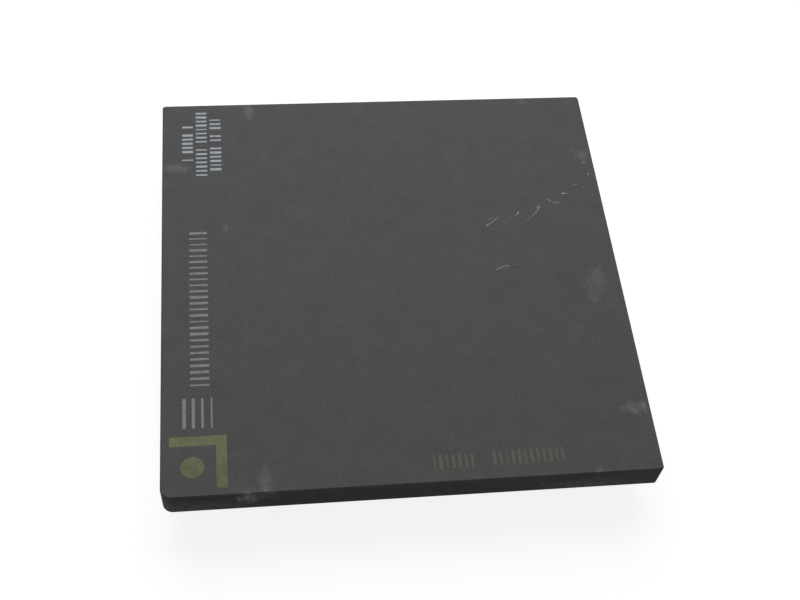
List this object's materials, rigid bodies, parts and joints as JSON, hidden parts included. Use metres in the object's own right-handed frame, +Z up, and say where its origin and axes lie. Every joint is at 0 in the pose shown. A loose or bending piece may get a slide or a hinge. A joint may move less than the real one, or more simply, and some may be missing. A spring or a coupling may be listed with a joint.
{
  "type": "microprocessor",
  "caption": "Square dark ceramic pin grid microprocessor: plain top with a gold index mark, gold pins brazed in rings below, and a chip wired in a lidded cavity.",
  "frame": {"origin": "under the middle of the package, at the level of the pin tips", "axes": "+Z up through the plain top face, +X to the right and +Y to the back with the index mark at the front left"},
  "size_m": [0.0472, 0.0472, 0.0072],
  "materials": {
    "ceramic": "matt dark grey fired alumina",
    "index_gold": "dull olive gold print",
    "pin_gold": "satin gold plate",
    "braze_gold": "gold plate over braze",
    "silicon": "polished silicon",
    "solder_gold": "gold alloy solder",
    "bond_gold": "bright gold",
    "lid_gold": "satin gold plate"
  },
  "bodies": {
    "root": {"package_body": "ceramic", "index_mark": "index_gold", "pin_row_a": "pin_gold", "pin_row_b": "pin_gold", "pin_row_c": "pin_gold", "pin_row_d": "pin_gold", "pin_row_e": "pin_gold", "pin_row_f": "pin_gold", "pin_row_g": "pin_gold", "pin_row_h": "pin_gold", "pin_row_j": "pin_gold", "pin_row_k": "pin_gold", "pin_row_l": "pin_gold", "pin_row_m": "pin_gold", "pin_row_n": "pin_gold", "pin_row_p": "pin_gold", "pin_row_q": "pin_gold", "pin_row_r": "pin_gold", "pin_row_s": "pin_gold", "pin_row_t": "pin_gold", "braze_joints": "braze_gold", "die": "silicon", "die_attach": "solder_gold", "bond_fingers": "bond_gold", "bond_wires_south": "bond_gold", "bond_wires_east": "bond_gold", "bond_wires_north": "bond_gold", "bond_wires_west": "bond_gold", "seal_ring": "lid_gold", "lid_solder": "solder_gold", "lid": "lid_gold"}
  },
  "joints": []
}
